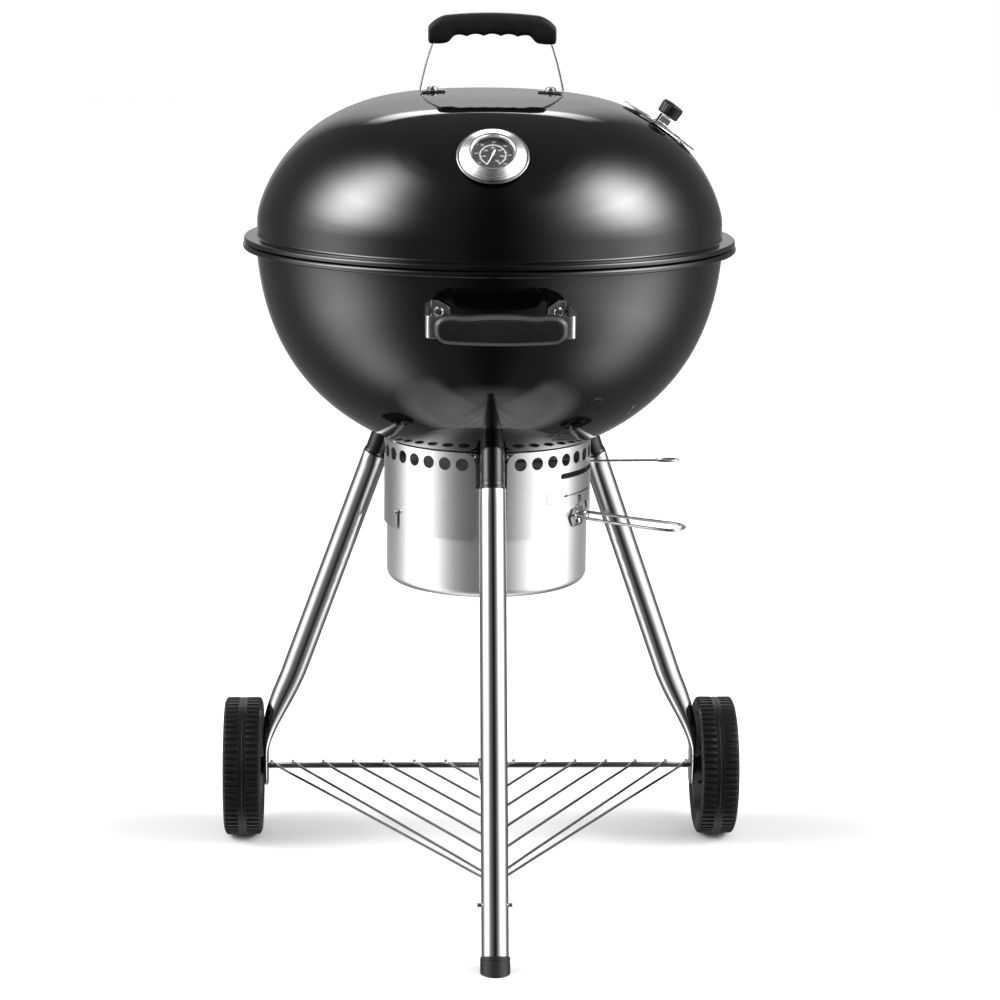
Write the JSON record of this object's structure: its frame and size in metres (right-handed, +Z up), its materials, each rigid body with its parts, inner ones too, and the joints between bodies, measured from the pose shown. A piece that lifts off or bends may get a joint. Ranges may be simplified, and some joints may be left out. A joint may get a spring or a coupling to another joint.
{
  "type": "kettle charcoal grill",
  "caption": "Kettle charcoal grill: domed lid with thermometer and vent, round bowl, sweep vent over a hanging ash can, splayed tube legs, wheels and wire bottom rack.",
  "frame": {"origin": "middle of the object's footprint box, on the floor", "axes": "+Z up; the front leg points to -Y; the wheel axle runs along X, behind the kettle"},
  "size_m": [0.6774, 0.6952, 1.0842],
  "materials": {
    "enamel": "high gloss porcelain enamel",
    "enamel_inside": "gloss enamel",
    "grip": "fine-grained matte",
    "chrome": "mirror plated",
    "brushed_steel": "brushed",
    "satin_aluminium": "satin",
    "zinc": "bright zinc-plated steel",
    "wheel_plastic": "matte moulded",
    "wire_steel": "plated steel wire and rod",
    "dial": "printed matte black",
    "clear_glass": "clear",
    "needle": "white lacquer"
  },
  "bodies": {
    "stand": {"bowl_shell": "enamel", "bowl_handle_grip": "grip", "bowl_handle_bracket_left": "zinc", "bowl_handle_bracket_right": "zinc", "bowl_handle_bolt_left": "zinc", "bowl_handle_bolt_right": "zinc", "bowl_handle_nut_left": "zinc", "bowl_handle_nut_right": "zinc", "leg_socket_front": "enamel", "leg_socket_left": "enamel", "leg_socket_right": "enamel", "leg_front": "chrome", "leg_left": "chrome", "leg_right": "chrome", "foot_cap": "wheel_plastic", "axle": "wire_steel", "bottom_rack": "wire_steel", "rack_pin": "zinc", "ash_skirt": "brushed_steel", "skirt_bolt_left": "zinc", "skirt_bolt_right": "zinc", "grate_tab_a": "enamel_inside", "grate_tab_b": "enamel_inside", "grate_tab_c": "enamel_inside"},
    "lid": {"lid_shell": "enamel", "lid_handle_grip": "grip", "lid_handle_strap": "zinc", "lid_handle_bolt_left": "zinc", "lid_handle_bolt_right": "zinc", "lid_handle_nut_left": "zinc", "lid_handle_nut_right": "zinc", "thermometer_backplate": "zinc", "thermometer_bezel": "brushed_steel", "thermometer_dial": "dial", "thermometer_glass": "clear_glass", "thermometer_stem": "zinc", "thermometer_nut": "zinc", "lid_damper_rivet": "zinc"},
    "thermometer_pointer": {"thermometer_needle": "needle"},
    "lid_damper": {"lid_damper_disc": "zinc", "lid_damper_bracket": "zinc", "lid_damper_knob": "grip"},
    "sweep": {"sweep_blades": "zinc", "sweep_lever": "zinc", "sweep_nut": "zinc"},
    "ash_catcher": {"ash_can": "satin_aluminium", "can_handle_plate": "zinc", "can_handle_wire": "zinc", "can_plate_rivet": "zinc", "can_latch": "zinc", "can_peg_left": "zinc", "can_peg_back": "zinc"},
    "cooking_grate_body": {"cooking_grate": "wire_steel"},
    "charcoal_grate_body": {"charcoal_grate": "wire_steel"},
    "wheel_left_body": {"wheel_left": "wheel_plastic", "hub_cap_left": "chrome"},
    "wheel_right_body": {"wheel_right": "wheel_plastic", "hub_cap_right": "chrome"}
  },
  "joints": [
    {"name": "lid_lift", "type": "slide", "parent": "stand", "child": "lid", "axis": [0, 0, 1], "range_m": [0, 0.35]},
    {"name": "thermometer_pointer_turn", "type": "hinge", "parent": "lid", "child": "thermometer_pointer", "pos_m": [-0.00648, -0.18651, 0.93008], "axis": [-0.0194, -0.6932, 0.7205], "range_deg": [-250, 0], "stiffness_Nm_per_rad": 0.002},
    {"name": "lid_damper_turn", "type": "hinge", "parent": "lid", "child": "lid_damper", "pos_m": [0.2075, 0.0456, 0.95011], "axis": [0.5617, 0, 0.8273], "range_deg": [0, 45]},
    {"name": "sweep_turn", "type": "hinge", "parent": "stand", "child": "sweep", "pos_m": [0, 0.0456, 0.5302], "axis": [0, 0, 1], "range_deg": [-46, 4]},
    {"name": "ash_can_drop", "type": "slide", "parent": "stand", "child": "ash_catcher", "axis": [0, 0, -1], "range_m": [0, 0.15]},
    {"name": "cooking_grate_lift", "type": "slide", "parent": "stand", "child": "cooking_grate_body", "axis": [0, 0, 1], "range_m": [0, 0.07]},
    {"name": "charcoal_grate_lift", "type": "slide", "parent": "stand", "child": "charcoal_grate_body", "axis": [0, 0, 1], "range_m": [0, 0.1]},
    {"name": "wheel_left_spin", "type": "hinge", "parent": "stand", "child": "wheel_left_body", "pos_m": [-0.3117, 0.2007, 0.0905], "axis": [1, 0, 0], "continuous": true},
    {"name": "wheel_right_spin", "type": "hinge", "parent": "stand", "child": "wheel_right_body", "pos_m": [0.3117, 0.2007, 0.0905], "axis": [1, 0, 0], "continuous": true}
  ]
}
